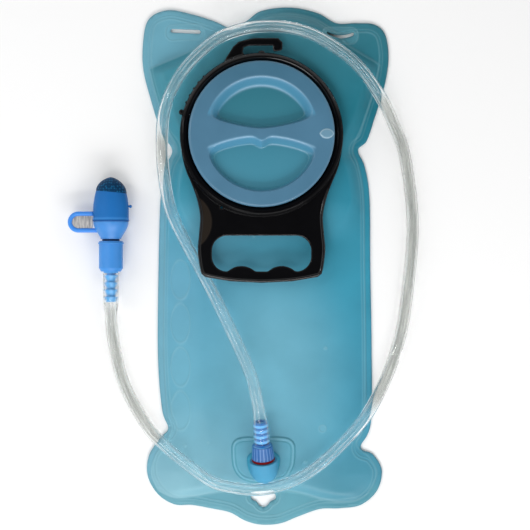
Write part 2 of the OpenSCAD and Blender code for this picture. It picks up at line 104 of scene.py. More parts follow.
def make_piece(name, points_mm, faces, body, material, closed=True, values=None, flat_above=None):
    """One object from points in millimetres, with poles closed and faces outwards."""
    points = np.asarray(points_mm, float) * MM
    if closed and enclosed_volume(points - points.mean(0), faces) < 0:
        faces = faces[:, ::-1]
    mesh = bpy.data.meshes.new(name)
    mesh.from_pydata(points.tolist(), [], faces.tolist())
    for key, value in (values or {}).items():
        add_attribute(mesh, key, value)
    work = bmesh.new()
    work.from_mesh(mesh)
    bmesh.ops.remove_doubles(work, verts=work.verts, dist=1e-7)
    bmesh.ops.dissolve_degenerate(work, edges=work.edges, dist=1e-8)
    work.to_mesh(mesh)
    work.free()
    mesh.shade_smooth()
    if flat_above is not None:
        mesh.set_sharp_from_angle(angle=np.radians(flat_above))
    mesh.materials.append(material)
    piece = bpy.data.objects.new(name, mesh)
    bpy.context.scene.collection.objects.link(piece)
    if body:
        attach(piece, body)
    print(f"{name}: {len(mesh.polygons)} faces on {body or 'two bodies'}")
    return piece


# %% Smooth curves through chosen points
def between(a, b, c, d, t):
    """Cubic that passes b at t = 0 and c at t = 1, with its slopes from a and d."""
    return 0.5 * (2 * b + (c - a) * t + (2 * a - 5 * b + 4 * c - d) * t * t
                  + (3 * b - a - 3 * c + d) * t ** 3)


def along(points, f):
    """Open smooth curve at fractions f, where each stretch takes an equal share of f."""
    p, n = np.asarray(points, float), len(points) - 1
    f = np.asarray(f, float)
    i = np.minimum((f * n).astype(int), n - 1)
    at = lambda k: p[np.clip(k, 0, n)]
    return between(at(i - 1), at(i), at(i + 1), at(i + 2), (f * n - i)[..., None])


def closed_curve(points, steps):
    """Closed smooth curve, with a number of steps between each two points."""
    p, n = np.asarray(points, float), len(points)
    i = np.repeat(np.arange(n), steps)
    t = np.tile(np.arange(steps) / steps, n)[:, None]
    return between(p[i - 1], p[i], p[(i + 1) % n], p[(i + 2) % n], t)


def smooth(x, a=0.0, b=1.0):
    """0 below a, 1 above b, and an S-shaped step between them."""
    t = np.clip((np.asarray(x, float) - a) / (b - a), 0, 1)
    return t * t * (3 - 2 * t)


# %% [markdown]
# ## Helpers for finishes
# Plastics, film and rubber differ in a few numbers, so one short function starts
# each material, and small node groups hold the effects that several of them share.
# Lengths in the shaders are in metres, because they read the place on the piece.


# %% Colours and shader nodes
def paint(red, green, blue):
    """Screen values from 0 to 255 as the linear colour that shaders mix."""
    s = np.array([red, green, blue]) / 255
    return tuple(np.where(s <= 0.04045, s / 12.92, ((s + 0.055) / 1.055) ** 2.4)) + (1.0,)


def add_node(tree, kind, inputs=None, **settings):
    """A node with its settings, and its sockets given a value or linked from another."""
    node = tree.nodes.new(kind)
    for key, value in settings.items():
        setattr(node, key, value)
    for key, value in (inputs or {}).items():
        if isinstance(value, bpy.types.NodeSocket):
            tree.links.new(value, node.inputs[key])
        else:
            node.inputs[key].default_value = value
    return node


def math_node(tree, operation, a, b=0.0, c=0.0, clamp=False):
    return add_node(tree, "ShaderNodeMath", {0: a, 1: b, 2: c}, operation=operation,
                    use_clamp=clamp).outputs[0]


def times(tree, a, b, clamp=False):
    return math_node(tree, "MULTIPLY", a, b, clamp=clamp)


def step_node(tree, value, low, high, to_low=0.0, to_high=1.0):
    """Smooth step of a value from to_low at low to to_high at high."""
    return add_node(tree, "ShaderNodeMapRange", {0: value, 1: low, 2: high, 3: to_low, 4: to_high},
                    interpolation_type="SMOOTHSTEP").outputs[0]


def mix_colour(tree, share, a, b, blend="MIX"):
    return add_node(tree, "ShaderNodeMix", {0: share, 6: a, 7: b}, data_type="RGBA",
                    blend_type=blend).outputs[2]


def tint(tree, colour, mask, strength, *rgb):
    """The colour, drawn towards a screen colour by up to strength where the mask is 1."""
    return mix_colour(tree, times(tree, mask, strength), colour, paint(*rgb))


def object_place(tree):
    """Coordinates on the piece, in metres."""
    return add_node(tree, "ShaderNodeTexCoord").outputs["Object"]


def split_xyz(tree, vector):
    """The X, Y and Z of a vector."""
    return add_node(tree, "ShaderNodeSeparateXYZ", {0: vector}).outputs


def attribute(tree, name, kind="Fac"):
    """A value that is stored at the mesh's points: a number, or a vector with kind "Vector"."""
    return add_node(tree, "ShaderNodeAttribute", attribute_name=name).outputs[kind]


def noise(tree, place, scale, detail):
    return add_node(tree, "ShaderNodeTexNoise",
                    {"Vector": place, "Scale": scale, "Detail": detail}).outputs["Fac"]


def drive(tree, shader, **sources):
    """Link each named socket of a shader, with _ for a space, to the output that drives it."""
    for key, source in sources.items():
        tree.links.new(source, shader.inputs[key.replace("_", " ")])


def bump(tree, height, strength, distance):
    """A normal dented by a height, at most a distance in metres."""
    return add_node(tree, "ShaderNodeBump", {"Strength": strength, "Distance": distance,
                                             "Height": height}).outputs[0]


def new_material(name, **sockets):
    """A material, its tree and its Principled shader, with plain numbers on its sockets."""
    material = bpy.data.materials.new(name)
    material.use_nodes = True
    tree = material.node_tree
    shader = tree.nodes["Principled BSDF"]
    for key, value in sockets.items():
        shader.inputs[key.replace("_", " ")].default_value = value
    return material, tree, shader


def new_group(name, inputs, outputs):
    """A node group with number or colour inputs and outputs, and its two end nodes."""
    group = bpy.data.node_groups.new(name, "ShaderNodeTree")
    for key, (kind, value) in inputs.items():
        socket = group.interface.new_socket(key, in_out="INPUT", socket_type=kind)
        socket.default_value = value
    for key, kind in outputs.items():
        group.interface.new_socket(key, in_out="OUTPUT", socket_type=kind)
    return group, group.nodes.new("NodeGroupInput").outputs, group.nodes.new("NodeGroupOutput").inputs


NUMBER, COLOUR = "NodeSocketFloat", "NodeSocketColor"

# %% [markdown]
# ### Moulded skin
# A moulded part is never one even colour. The plastic clouds a little, its gloss
# varies where it was handled, and a fine texture breaks the highlights. The group
# takes a colour and gives back the clouded colour, the gloss and a height.

# %% Moulded skin group
skin, given, gives = new_group(
    "Moulded skin",
    {"Colour": (COLOUR, (0.5, 0.5, 0.5, 1)), "Cloud size": (NUMBER, 60.0), "Clouding": (NUMBER, 0.15),
     "Grain size": (NUMBER, 1500.0), "Roughness": (NUMBER, 0.3), "Wear": (NUMBER, 0.1)},
    {"Colour": COLOUR, "Roughness": NUMBER, "Height": NUMBER})
place = object_place(skin)
grain = noise(skin, place, given["Grain size"], 2.0)
swing = math_node(skin, "SUBTRACT", noise(skin, place, given["Cloud size"], 4.0), 0.5)
lighter = math_node(skin, "MULTIPLY_ADD", swing, times(skin, given["Clouding"], 2.0), 1.0)
scaled = add_node(skin, "ShaderNodeVectorMath", {0: given["Colour"], 3: lighter}, operation="SCALE")
skin.links.new(scaled.outputs[0], gives["Colour"])
rubbed = math_node(skin, "MULTIPLY_ADD", swing, given["Wear"], given["Roughness"])
skin.links.new(math_node(skin, "MULTIPLY_ADD", grain, 0.04, rubbed), gives["Roughness"])
skin.links.new(grain, gives["Height"])
print("group:", skin.name, "with", len(skin.nodes), "nodes")


# %% A plastic or rubber finish from the group
def moulded(name, colour, roughness=0.3, clouding=0.12, cloud_size=60.0, grain=0.05, wear=0.12,
            edge_radius=0.0, **sockets):
    """A finished material: the moulded skin drives colour, gloss and a fine bump.
    With an edge radius, the shading rounds the part's edges."""
    material, tree, shader = new_material(name, **sockets)
    group = tree.nodes.new("ShaderNodeGroup")
    group.node_tree = skin
    for key, value in (("Colour", colour), ("Cloud size", cloud_size), ("Clouding", clouding),
                       ("Roughness", roughness), ("Wear", wear)):
        group.inputs[key].default_value = value
    dented = bump(tree, group.outputs["Height"], grain, 0.0003)
    if edge_radius:
        rounded = add_node(tree, "ShaderNodeBevel", {"Radius": edge_radius}, samples=6)
        drive(tree, dented.node, Normal=rounded.outputs[0])
    clouded = group.outputs["Colour"]
    drive(tree, shader, Base_Color=clouded, Roughness=group.outputs["Roughness"], Normal=dented)
    return material, tree, shader, clouded


# %% [markdown]
# ### A soft line
# The welds and marks on the film, the patch, the cap, the painted highlight and
# painted shade round the cover's lip, and the painted highlight lines along the hose,
# are all a soft line at a distance from something. Its Shade output gives the
# painted shade beside the film's welds and marks.

# %% Soft line group
soft, given, gives = new_group(
    "Soft line", {"Distance": (NUMBER, 0.0), "Offset": (NUMBER, 0.0), "Width": (NUMBER, 0.8)},
    {"Mask": NUMBER, "Shade": NUMBER})
away = math_node(soft, "SUBTRACT", given["Distance"], given["Offset"])
away = math_node(soft, "DIVIDE", away, given["Width"])
mask = math_node(soft, "EXPONENT", times(soft, times(soft, away, away), -1.0))
soft.links.new(mask, gives["Mask"])
soft.links.new(times(soft, mask, away), gives["Shade"])


def soft_line(tree, distance, offset, width):
    """A line where the distance equals the offset: its mask and its slope, exp(-u^2) and
    u exp(-u^2), where u is how many widths away it is."""
    node = tree.nodes.new("ShaderNodeGroup")
    node.node_tree = soft
    tree.links.new(distance, node.inputs["Distance"])
    node.inputs["Offset"].default_value, node.inputs["Width"].default_value = offset, width
    return node.outputs["Mask"], node.outputs["Shade"]


# %% [markdown]
# ## The hose
# A drinking hose is a clear tube with a bore, 9 mm outside, and it is stretched
# over a barb at each end. It could be a curve with a bevel, but a clear tube needs
# an inner wall as well, so both walls are rings carried along the route: out of the
# outlet, under the handle's corner, over the bag's shoulder, down the right side on
# the floor, across the foot and up to the valve.

# %% Route of the hose, in millimetres
hose_route = np.array([
    [-2.4, -127.7, 22], [-3.5, -112, 27.8], [-6.5, -94, 30.5], [-12.5, -73, 28.5],
    [-33, -30, 15.5], [-45.5, -6, 11.4], [-59, 19, 11.7], [-69, 41, 12], [-74, 66, 11.5],
    [-75.5, 91, 11], [-73.5, 113, 13.5], [-65.5, 133, 15.6], [-53, 150, 15.8], [-35.5, 165, 15.8],
    [-16, 172.5, 15.8], [4, 174.5, 15.8], [24, 172, 15.8], [43, 164, 15.9], [65, 148, 16.1],
    [82.5, 126, 11.8], [94, 103.5, 6], [102.5, 79, 4.7], [108, 29, 4.7], [103, -28, 4.7],
    [97, -58, 5], [87, -85, 6.5], [73, -110, 10.5], [55.5, -130, 11.7], [36, -147.5, 11.8],
    [16, -158.5, 11.6], [-4, -163, 11.4], [-24, -161.5, 11.6], [-43.5, -154.5, 11.8],
    [-78, -127, 9.2], [-93, -107, 5.6], [-104, -85, 4.7], [-110, -62, 5.4], [-112.3, -44, 9.8],
    [-112.5, -26, 13.3], [-112.5, -5, 13.3]])
HOSE_R, HOSE_WALL = 4.5, 1.4
RINGS, SIDES = 760, 28
share = np.linspace(0, 1, RINGS)
line = along(hose_route, share)
run = np.concatenate([[0], np.cumsum(np.linalg.norm(np.diff(line, axis=0), axis=1))])
print("hose length, mm:", round(run[-1], 1))


# %% Walls of the hose
def ring_turn(count):
    """Angles of a ring's points."""
    return np.linspace(0, 2 * np.pi, count, endpoint=False)


def tube_rings(line, radius, count):
    """Rings round a line: centre + radius (cos a * side + sin a * up), square to the line."""
    ahead = np.gradient(line, axis=0)
    ahead /= np.linalg.norm(ahead, axis=1)[:, None]
    side = np.cross([0, 0, 1], ahead)
    side /= np.linalg.norm(side, axis=1)[:, None]
    up = np.cross(ahead, side)
    a = ring_turn(count)
    ring = np.cos(a)[None, :, None] * side[:, None] + np.sin(a)[None, :, None] * up[:, None]
    return line[:, None] + np.asarray(radius)[:, None, None] * ring


def both_walls(values):
    """Values of the rings out along the outer wall and back along the inner one."""
    return np.concatenate([values, values[::-1]])


# Over the barb at each end the wall lies further out and is thinner, most at the outlet
BARB_REACH, BARB_SWELL, OUTLET_THINNER, VALVE_THINNER = 1.6, 1.5, 1.1, 0.8
from_end = np.minimum(share, 1 - share) * (len(hose_route) - 1) / BARB_REACH
stretched = 1 - smooth(from_end, 0.5, 1)
outer_r = HOSE_R + BARB_SWELL * stretched
inner_r = outer_r - (HOSE_WALL - np.where(share < 0.5, OUTLET_THINNER, VALVE_THINNER) * stretched)
hose_points = np.concatenate([tube_rings(line, outer_r, SIDES), tube_rings(line, inner_r, SIDES)[::-1]])
turn, shape = ring_turn(SIDES), (RINGS, SIDES)
hose_run = both_walls(np.stack([np.broadcast_to(HOSE_R * np.cos(turn), shape),
                                np.broadcast_to(HOSE_R * np.sin(turn), shape),
                                np.broadcast_to(run[:, None], shape)], -1)) * MM
hose_grip = np.repeat(both_walls(stretched), SIDES)
print("bore of the hose, mm:", 2 * (HOSE_R - HOSE_WALL))

# %% [markdown]
# ## The outline of the bag
# Both films are cut to one outline: two ears with slots, a lobe over the cap, a
# waist, two lobes at the foot and a hang tab between them. Inside it, a weld runs
# round the water space. Its four edges are the ones that the design uses.

# %% Outline and weld lines, in millimetres
outline_points = [
    [-89.5, 143], [-90, 163], [-86, 181], [-72, 188], [-54, 185], [-38, 180], [-25, 175],
    [-14, 180], [-3, 187.5], [18, 190], [38, 186], [52, 178.5], [67, 178.5], [80, 177.5],
    [88, 170], [90.5, 152], [87, 130], [80, 108], [74.5, 92], [68, 85], [73, 73], [76.5, 50],
    [77, 0], [78, -60], [77.5, -115], [70, -133], [79, -138.5], [85.5, -150], [82, -165],
    [70, -175.5], [54, -178], [40, -178.5], [24, -184], [11, -189], [-3, -190], [-15, -187],
    [-26, -181], [-40, -178], [-54, -175.5], [-67, -175], [-79, -167.5], [-86.5, -154],
    [-85.5, -139], [-77, -126], [-71.5, -119], [-76, -105], [-79, -65], [-78.5, 0],
    [-77, 50], [-73.5, 73], [-68.5, 85], [-76.5, 98], [-83, 118]]
left_edge = [[-79, -165], [-84, -152], [-80, -138], [-69, -121], [-72, -106], [-74, -60], [-73.5, 0],
             [-72.5, 50], [-69, 75], [-65, 86], [-73, 104], [-80, 125], [-85, 145]]
right_edge = [[75, -167], [82, -152], [76, -140], [67, -131], [72.5, -115], [73, -60], [72.5, 0],
              [71.5, 50], [67.5, 75], [64, 86], [71, 103], [78, 124], [84, 148]]
top_edge = [[-85, 145], [-68, 152], [-51, 160], [-40, 169.5], [-30, 171], [-20, 171.5], [-9, 177.5],
            [3, 183], [19, 185], [36, 181], [49, 174], [61, 162], [84, 148]]
foot_edge = [[-79, -165], [-68, -170], [-55, -169.5], [-42, -167], [-28, -165], [-14, -164], [0, -164],
             [14, -164.5], [28, -167], [42, -171], [56, -173], [67, -171.5], [75, -167]]
outline = closed_curve(outline_points, 8)
edge_share = np.linspace(0, 1, 97)
edges = {name: along(points, edge_share) for name, points in
         (("left", left_edge), ("right", right_edge), ("top", top_edge), ("foot", foot_edge))}
water_loop = np.concatenate([edges["foot"][:-1], edges["right"][:-1], edges["top"][::-1][:-1],
                             edges["left"][::-1][:-1]])


# %% Distances to lines and loops
def distance_to(points, path, closed=False):
    """Distance from each point to the nearest place on a line of straight stretches."""
    ends = np.roll(path, -1, axis=0) if closed else path[1:]
    starts = path if closed else path[:-1]
    best = np.full(len(points), 1e9)
    for a, b in zip(starts, ends):
        ab = b - a
        t = np.clip(((points - a) @ ab) / max(ab @ ab, 1e-12), 0, 1)
        best = np.minimum(best, np.linalg.norm(points - a - t[:, None] * ab, axis=1))
    return best


def inside(points, loop):
    """True where a ray to the right crosses the loop an odd number of times."""
    x, y = points.T
    odd = np.zeros(len(points), bool)
    for a, b in zip(loop, np.roll(loop, -1, axis=0)):
        if a[1] != b[1]:
            crossing = (a[1] > y) != (b[1] > y)
            odd ^= crossing & (x < a[0] + (y - a[1]) * (b[0] - a[0]) / (b[1] - a[1]))
    return odd


def circle(centre, r, count):
    a = ring_turn(count)
    return np.array(centre) + r * np.stack([np.cos(a), np.sin(a)], 1)


def part_inside(points, loop):
    """Distance to the loop, positive inside it."""
    return np.where(inside(points, loop), 1, -1) * distance_to(points, loop, True)


# %% [markdown]
# ## The hose's finish
# The clear hose is a glass-like plastic with faint streaks from the die. It is hard
# to see over the bag, where only thin bright lines run along it, and it looks grey
# where it lies on the floor. Both looks are painted into its colour: the wall is
# painted grey as painted shade where it lies on the floor, its grazing edges are
# painted darker, and the bright lines are painted highlights. So each ring knows
# whether it lies over the bag, with a soft change within 4 mm of the edge, and the
# painted highlight lines keep their place round the wall.

# %% Clear hose finish and the hose itself
over_bag = np.repeat(both_walls(smooth(part_inside(line[:, :2], outline), -4, 4)), SIDES)

hose_clear, tree, shader = new_material("hose_clear", IOR=1.3, Roughness=0.04)
run_at = attribute(tree, "run", "Vector")
stretch = add_node(tree, "ShaderNodeMapping", {"Vector": run_at, "Scale": (420.0, 420.0, 30.0)}).outputs[0]
streak = noise(tree, stretch, 1.0, 3.0)
streaky = step_node(tree, streak, 0.3, 0.7)
edge = add_node(tree, "ShaderNodeLayerWeight", {"Blend": 0.3}).outputs["Facing"]
# Painted shade: the wall is painted grey over the floor, near white over the bag, and darker at its grazing
# edges
on_floor = mix_colour(tree, streaky, paint(208, 210, 208), paint(236, 237, 235))
clear = mix_colour(tree, streaky, paint(238, 246, 248), paint(254, 255, 255))
wall_colour = mix_colour(tree, attribute(tree, "over_bag"), on_floor, clear)
wall_colour = mix_colour(tree, step_node(tree, edge, 0.6, 0.98, 0.0, 0.8), wall_colour, paint(150, 148, 142))
# Painted highlights: two bright lines near the sides and a thin one in the middle, on the upper half
wall_x, wall_y, _ = split_xyz(tree, run_at)
across = math_node(tree, "DIVIDE", wall_x, HOSE_R * MM)
side_highlight = soft_line(tree, math_node(tree, "ABSOLUTE", across), 0.76, 0.055)[0]
middle_highlight = soft_line(tree, across, 0.1, 0.045)[0]
lines = math_node(tree, "MULTIPLY_ADD", middle_highlight, 0.6, side_highlight)
lines = times(tree, lines, step_node(tree, noise(tree, run_at, 28.0, 2.0), 0.42, 0.6, 0.35, 1.0))
lines = times(tree, lines, step_node(tree, wall_y, 0.0, 0.001), clamp=True)
# The wall lets light fall through to the film and the floor, and thins over a barb
shadow = add_node(tree, "ShaderNodeLightPath").outputs["Is Shadow Ray"]
solid = math_node(tree, "MULTIPLY_ADD", attribute(tree, "grip"), -0.62, 1.0)
drive(tree, shader, Base_Color=mix_colour(tree, lines, wall_colour, paint(240, 246, 246)),
      Transmission_Weight=math_node(tree, "MULTIPLY_ADD", lines, -0.5, 0.98),
      Alpha=math_node(tree, "MULTIPLY_ADD", shadow, -0.8, solid, clamp=True),
      Roughness=step_node(tree, streak, 0.3, 0.8, 0.02, 0.1), Normal=bump(tree, streak, 0.12, 0.0004))

hose = make_piece("drinking_hose", hose_points.reshape(-1, 3),
                  grid_faces(2 * RINGS, SIDES, wrap_rows=True), "bag", hose_clear,
                  values={"run": hose_run.reshape(-1, 3), "grip": hose_grip, "over_bag": over_bag})
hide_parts("hose")

# %% Holes in the films
def slot_loop(centre, length, width, sag=0.0, tilt=0.0):
    """A bar with round ends. Its middle sinks by sag, as where an ear curls up."""
    half, end_r, steps = (length - width) / 2, width / 2, 24
    a = np.linspace(0, np.pi, 8)
    x = np.concatenate([np.linspace(-half, half, steps), half + end_r * np.sin(a),
                        np.linspace(half, -half, steps), -half - end_r * np.sin(a)])
    y = np.concatenate([np.full(steps, -end_r), -end_r * np.cos(a),
                        np.full(steps, end_r), end_r * np.cos(a)])
    y = y - sag * (1 - (x / (half + end_r)) ** 2)
    y = y + x * np.tan(np.radians(tilt))
    loop = np.stack([x, y], 1) + np.array(centre)
    keep = np.linalg.norm(loop - np.roll(loop, 1, axis=0), axis=1) > 1e-6
    return loop[keep]


left_slot = slot_loop([-58.6, 172.6], 22, 2.8, tilt=-2.5)
right_slot = slot_loop([55, 170.8], 20, 2.4, sag=2.2)
hang_hole = closed_curve([[-8, -166.4], [-1.5, -166], [5, -166.4], [7.6, -168.6], [7, -171.4],
                          [3.6, -173.2], [1.4, -176], [-1.5, -177.4], [-4.4, -176], [-6.6, -173.2],
                          [-10, -171.4], [-10.6, -168.6]], 5)
neck_centre, port_centre = np.array([-2.8, 95.5]), np.array([-1.2, -147.5])
neck_hole, port_hole = circle(neck_centre, 47, 120), circle(port_centre, 9.2, 48)
print("outline:", len(outline), "points; weld:", len(water_loop), "points")

# %% [markdown]
# ## The two films
# A film could be a filled curve, but the water space lifts the front one, and the
# welds, frames and spots pressed into it need their place on it. So a triangle net
# is laid between the outline and the holes, with sides of 2 mm. Its height comes from
# the distance to the weld, and the distances stay on it for the material to read.


# %% Triangle net inside a loop, with holes
def film_net(loops, pitch):
    """Corners on the loops and on a staggered grid between them, joined by triangles."""
    outer = loops[0]
    low, high = outer.min(0), outer.max(0)
    ys = np.arange(low[1], high[1], pitch * 0.866)
    xs = np.arange(low[0], high[0], pitch)
    x, y = np.meshgrid(xs, ys)
    x = x + (np.arange(len(ys)) % 2)[:, None] * pitch / 2
    field = np.stack([x.ravel(), y.ravel()], 1)
    keep = inside(field, outer) & (distance_to(field, outer, True) > 0.6 * pitch)
    for hole in loops[1:]:
        keep &= ~inside(field, hole) & (distance_to(field, hole, True) > 0.4 * pitch)
    points = np.concatenate([*loops, field[keep]])
    pairs, first = [], 0
    for loop in loops:
        k = np.arange(len(loop))
        pairs += np.stack([first + k, first + (k + 1) % len(loop)], 1).tolist()
        first += len(loop)
    made = delaunay_2d_cdt([Vector(p) for p in points.tolist()], pairs, [], 0, 1e-6)
    corners, triangles = np.array([tuple(p) for p in made[0]]), np.array(made[2])
    middle = corners[triangles].mean(1)
    good = inside(middle, outer)
    for hole in loops[1:]:
        good &= ~inside(middle, hole)
    triangles = triangles[good]
    a, b, c = (corners[triangles[:, k]] for k in range(3))
    turn = (b[:, 0] - a[:, 0]) * (c[:, 1] - a[:, 1]) - (b[:, 1] - a[:, 1]) * (c[:, 0] - a[:, 0])
    triangles[turn < 0] = triangles[turn < 0][:, ::-1]
    return corners, triangles


# %% Height of the front film
def film_lift(p):
    """Rise of the front film: its full rise times a quarter sine wave from each edge.
    It goes from 5 mm in the body to 9 mm round the neck, where the sides rise sooner."""
    up = smooth(p[:, 1], 15, 50)
    side_reach = 28 + (10 - 28) * up
    quarter = lambda name, reach: np.sin(np.pi / 2 * np.minimum(1, distance_to(p, edges[name]) / reach))
    lift = (5 + 4 * up) * quarter("left", side_reach) * quarter("right", side_reach)
    return np.where(inside(p, water_loop), lift * quarter("foot", 8) * quarter("top", 8), 0)


# %% Marks pressed into the front film
def rounded_box(p, centre, half, corner, tilt=0.0):
    """Signed distance to a box with round corners, negative inside."""
    c, s = np.cos(np.radians(tilt)), np.sin(np.radians(tilt))
    q = (p - np.array(centre)) @ np.array([[c, -s], [s, c]])
    q = np.abs(q) - (np.array(half) - corner)
    return np.linalg.norm(np.maximum(q, 0), axis=1) + np.minimum(q.max(1), 0) - corner


def oval(p, centre, half):
    """Roughly signed distance to an oval, negative inside."""
    return (np.linalg.norm((p - np.array(centre)) / np.array(half), axis=1) - 1) * min(half)


def pressed_marks(p):
    """Nearest of the slot frames, the four ovals down the left side and the round spots."""
    marks = [rounded_box(p, (-59, 171.8), (14.4, 5.8), 5, 2.5),
             rounded_box(p, (55, 169.4), (13.4, 6.2), 5.4)]
    marks += [oval(p, (-62.3, y), (7.2, 14.6)) for y in (-10, -42, -74, -106)]
    marks += [np.linalg.norm(p - np.array(c), axis=1) - r for c, r in
              (((41.8, -119), 2.8), ((-59, -131.6), 1.0), ((-41.5, -128.8), 0.9), ((-63, -137.5), 0.9),
               ((29.5, -143.5), 1.1), ((-8, 22), 0.9), ((44, -60), 1.2))]
    return np.min(marks, axis=0)


# %% Build the films
def film_values(p):
    return {"rim": distance_to(p, outline, True), "water": part_inside(p, water_loop),
            "marks": pressed_marks(p), "hole": distance_to(p, hang_hole, True)}


front_net, front_faces = film_net([outline, left_slot, right_slot, hang_hole, neck_hole, port_hole], 2.0)
back_net, back_faces = film_net([outline, left_slot, right_slot, hang_hole], 4.0)
print("front film:", len(front_faces), "triangles; back film:", len(back_faces))


# %% [markdown]
# ## The film's finish
# The film is a milky turquoise, deeper over the water space round the neck. Its
# colour also holds painted light and shade: it is painted lighter at the foot and
# the left ear, as light coming through the thin film from the floor, and darker
# towards the upper right. The welds show as paired pale and dark lines, the dark one
# a painted shade along one side. The shader reads the distances that were stored on
# the net, so each line keeps its width whatever the net's size.

# %% Colour of the film over the bag
def height_ramp(tree, value, stops):
    """Colours at heights from the foot, 0, to the top, 1."""
    ramp = add_node(tree, "ShaderNodeValToRGB", {0: value})
    while len(ramp.color_ramp.elements) < len(stops):
        ramp.color_ramp.elements.new(0.5)
    for element, (at, colour) in zip(ramp.color_ramp.elements, stops):
        element.position, element.color = at, paint(*colour)
    return ramp.outputs[0]


def film_colour(tree):
    """Turquoise, mixed from a left and a right ramp that hold painted shading, lighter at
    the left and the foot and darker at the upper right, with a painted pool of light in
    the lower middle. The paler ear comes later, in the film's material.
    """
    place = object_place(tree)
    x, y, _ = split_xyz(tree, place)
    high = add_node(tree, "ShaderNodeMapRange", {0: y, 1: -0.19, 2: 0.19}).outputs[0]
    left = height_ramp(tree, high, [(0.0, (138, 184, 196)), (0.25, (100, 166, 188)), (0.48, (96, 166, 192)),
                                    (0.66, (58, 146, 170)), (0.8, (62, 138, 156)), (1.0, (70, 136, 152))])
    right = height_ramp(tree, high, [(0.0, (78, 144, 164)), (0.25, (66, 146, 172)), (0.48, (48, 142, 168)),
                                     (0.66, (44, 136, 160)), (0.8, (26, 116, 134)), (1.0, (52, 118, 132))])
    colour = mix_colour(tree, step_node(tree, x, -0.085, 0.085), left, right)
    # Painted pool of light in the lower middle of the bag
    lit = add_node(tree, "ShaderNodeMapping", {"Vector": place, "Location": (-0.16, 0.75, 0.0),
                                               "Scale": (16.0, 9.5, 1.0)})
    painted_light_pool = add_node(tree, "ShaderNodeTexGradient", {0: lit.outputs[0]}, gradient_type="SPHERICAL")
    colour = mix_colour(tree, step_node(tree, painted_light_pool.outputs["Fac"], 0.0, 0.8, 0.0, 0.75), colour,
                        paint(108, 170, 190))
    return colour, x, y, place


# %% Front and back film materials
def film_material(name, pressed):
    """Film with its welds. Only the front film has the pressed marks."""
    material, tree, shader = new_material(name, Roughness=0.4, Specular_IOR_Level=0.3)
    rim, water, marks, hole = (attribute(tree, key) for key in ("rim", "water", "marks", "hole"))
    colour, x, y, place = film_colour(tree)
    # The ears and the rim are two films pressed together. On the left they are painted paler, as painted
    # light coming through the flat film
    flat_part = step_node(tree, water, -0.8, 0.6, 1.0, 0.0)
    to_left = step_node(tree, x, -0.05, 0.03, 1.0, 0.0)
    colour = tint(tree, colour, times(tree, flat_part, to_left), 0.8, 110, 168, 188)
    tab = times(tree, flat_part, step_node(tree, y, -0.165, -0.155, 0.6, 0.0))
    colour = mix_colour(tree, tab, colour, paint(88, 152, 166))
    # Faint mottling of the film
    mottle = noise(tree, place, 22.0, 4.0)
    grey = add_node(tree, "ShaderNodeCombineColor", {0: mottle, 1: mottle, 2: mottle}).outputs[0]
    colour = mix_colour(tree, 0.22, colour, grey, "OVERLAY")
    height = times(tree, mottle, 0.5)
    lines = [(rim, 4.4, 0.55, 0.1), (rim, 6.6, 0.7, 0.16), (water, 0.0, 0.8, 0.16), (hole, 3.2, 0.6, 0.25)]
    if pressed:
        lines.append((marks, 0.0, 0.55, 0.14))
    # Each weld and mark: a paler line, with a painted shade along one side of it
    for distance, offset, width, strength in lines:
        mask, shade = soft_line(tree, distance, offset, width)
        colour = tint(tree, colour, mask, strength, 150, 196, 206)
        painted_line_shade = times(tree, shade, -1.6 * strength, clamp=True)
        colour = mix_colour(tree, painted_line_shade, colour, paint(24, 96, 118))
        height = math_node(tree, "ADD", height, times(tree, mask, 0.6))
    if pressed:
        spot = times(tree, step_node(tree, marks, -0.3, 0.3, 1.0, 0.0),
                     step_node(tree, x, -0.045, -0.035, 0.04, 0.1))
        colour = mix_colour(tree, spot, colour, paint(160, 205, 215))
    drive(tree, shader, Base_Color=colour, Roughness=step_node(tree, mottle, 0.3, 0.7, 0.34, 0.48),
          Normal=bump(tree, height, 0.5, 0.0006))
    return material


front_film = film_material("front_film", True)
rear_film = film_material("rear_film", False)


# %% Lay the films
def lay_film(name, net, faces, z, material, node_name, thickness, values):
    """A film of the bag at height z that faces up, with its thickness below it."""
    piece = make_piece(name, np.column_stack([net, z]), faces, "bag", material, closed=False,
                       values=values)
    wall = piece.modifiers.new("thickness", "SOLIDIFY")
    wall.thickness, wall.offset = thickness * MM, -1
    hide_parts(node_name)
    return piece


FILM_T, FRONT_Z, BACK_Z = 0.6, 1.6, 0.75
front = lay_film("front_film_sheet", front_net, front_faces, FRONT_Z + film_lift(front_net), front_film,
                 "front_panel", FILM_T, film_values(front_net))
back = lay_film("back_film_sheet", back_net, back_faces, np.full(len(back_net), BACK_Z), rear_film,
                "back_panel", FILM_T, film_values(back_net))

# %% [markdown]
# ## The patch round the outlet
# A second piece of film is welded over the hole that the outlet comes through. It
# could be a plain plate, but it lies on the raised film, so it is a net too, cut
# along a loop that narrows towards the foot and lifted with the film under it.

# %% Patch film
patch_loop = closed_curve([[-24.8, -131], [-21.5, -126.5], [-15, -124.8], [-1.5, -124.6], [12, -124.8],
                           [18.5, -126.5], [21.9, -131], [22, -140], [20.6, -148], [16, -155],
                           [8, -158.4], [-1.5, -158.8], [-11, -158.4], [-19, -155], [-23.6, -148],
                           [-24.9, -140]], 5)
patch_net, patch_faces = film_net([patch_loop, port_hole], 1.4)
patch_rim = distance_to(patch_net, patch_loop, True)

